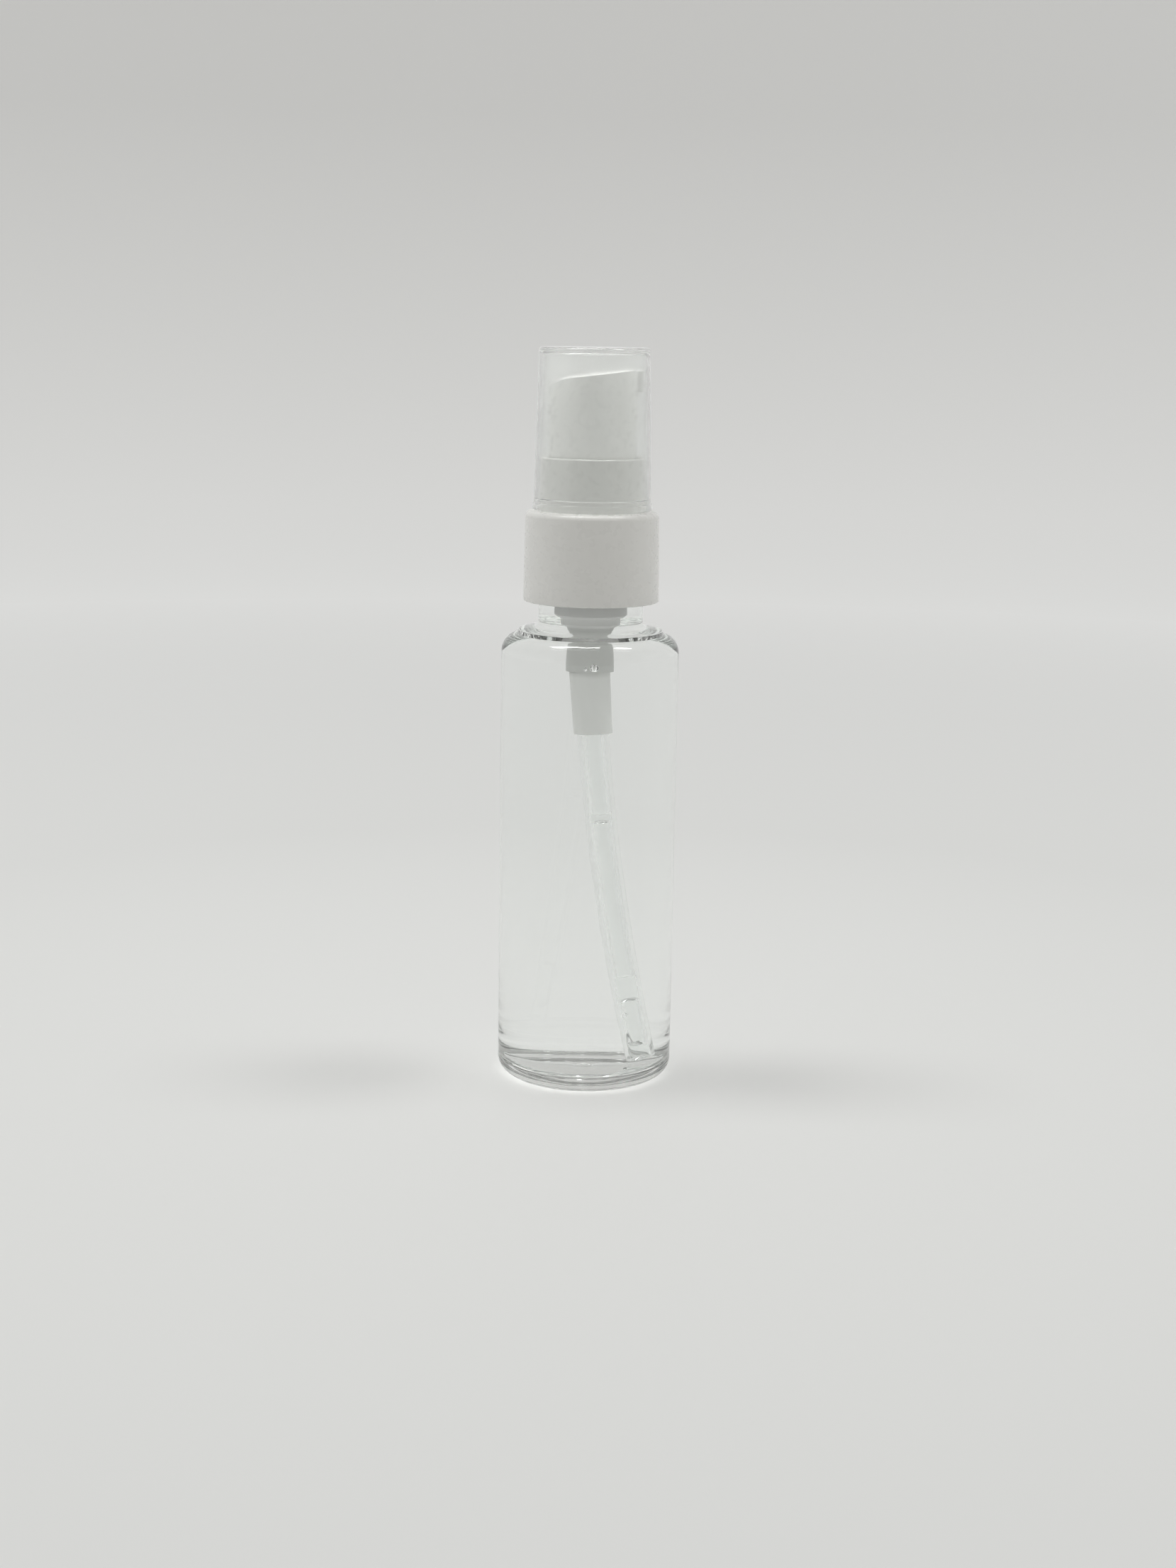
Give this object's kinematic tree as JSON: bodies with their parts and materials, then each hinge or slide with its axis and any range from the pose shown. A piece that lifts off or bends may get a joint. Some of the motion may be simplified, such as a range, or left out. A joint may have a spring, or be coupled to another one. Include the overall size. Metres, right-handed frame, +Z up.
{
  "type": "pump oil bottle",
  "caption": "Small clear cylindrical bottle with a dip tube, white screw collar, push-down dispensing pump with a short side nozzle, and a translucent lift-off overcap.",
  "frame": {"origin": "centre of the base ring, on the surface that the bottle stands on", "axes": "+Z up along the bottle's axis, +X towards the pump's nozzle"},
  "size_m": [0.03, 0.03, 0.1243],
  "materials": {
    "clear_pet": "water-clear glossy blown PET",
    "white_pp": "glossy white moulded polypropylene",
    "head_pp": "semi-gloss white moulded polypropylene",
    "frosted_pp": "hazy translucent natural polypropylene",
    "natural_pp": "milky natural polypropylene",
    "natural_pe": "translucent extruded polyethylene",
    "piston_pe": "soft waxy polyethylene",
    "gasket_foam": "closed-cell polyethylene foam",
    "ball_steel": "polished stainless steel",
    "spring_steel": "drawn stainless wire"
  },
  "bodies": {
    "bottle": {"bottle": "clear_pet"},
    "pump": {"pump_housing": "natural_pp", "stem_retainer": "natural_pp", "neck_gasket": "gasket_foam", "dip_tube": "natural_pe", "return_spring": "spring_steel"},
    "collar": {"screw_collar": "white_pp"},
    "cap": {"overcap": "frosted_pp"},
    "ball": {"inlet_ball": "ball_steel"},
    "rod": {"piston_rod": "natural_pp"},
    "piston": {"piston": "piston_pe"},
    "head": {"stem": "natural_pp", "actuator": "head_pp"}
  },
  "joints": [
    {"name": "pump_lift", "type": "slide", "parent": "bottle", "child": "pump", "axis": [0, 0, 1], "range_m": [0, 0.0048]},
    {"name": "collar_turn", "type": "hinge", "parent": "pump", "child": "collar", "pos_m": [0, 0, 0.09], "axis": [0, 0, 1], "range_deg": [0, 540]},
    {"name": "overcap_lift", "type": "slide", "parent": "collar", "child": "cap", "axis": [0, 0, 1], "range_m": [0, 0.03]},
    {"name": "pump_stroke", "type": "slide", "parent": "pump", "child": "rod", "axis": [0, 0, -1], "range_m": [0, 0.0045], "stiffness_N_per_m": 1200, "springref_m": -0.002, "deforming": ["return_spring"]},
    {"name": "piston_lag", "type": "slide", "parent": "rod", "child": "piston", "axis": [0, 0, 1], "range_m": [0, 0.0005]},
    {"name": "head_turn", "type": "hinge", "parent": "rod", "child": "head", "pos_m": [0, 0, 0.11], "axis": [0, 0, 1], "continuous": true},
    {"name": "inlet_ball_lift", "type": "slide", "parent": "pump", "child": "ball", "axis": [0, 0, 1], "range_m": [0, 0.0006]}
  ],
  "couplings": [
    {"joint": "pump_lift", "follows": "collar_turn", "m_per_rad": 0.00050532},
    {"joint": "piston_lag", "follows": "pump_stroke", "ratio": 0.11111}
  ]
}
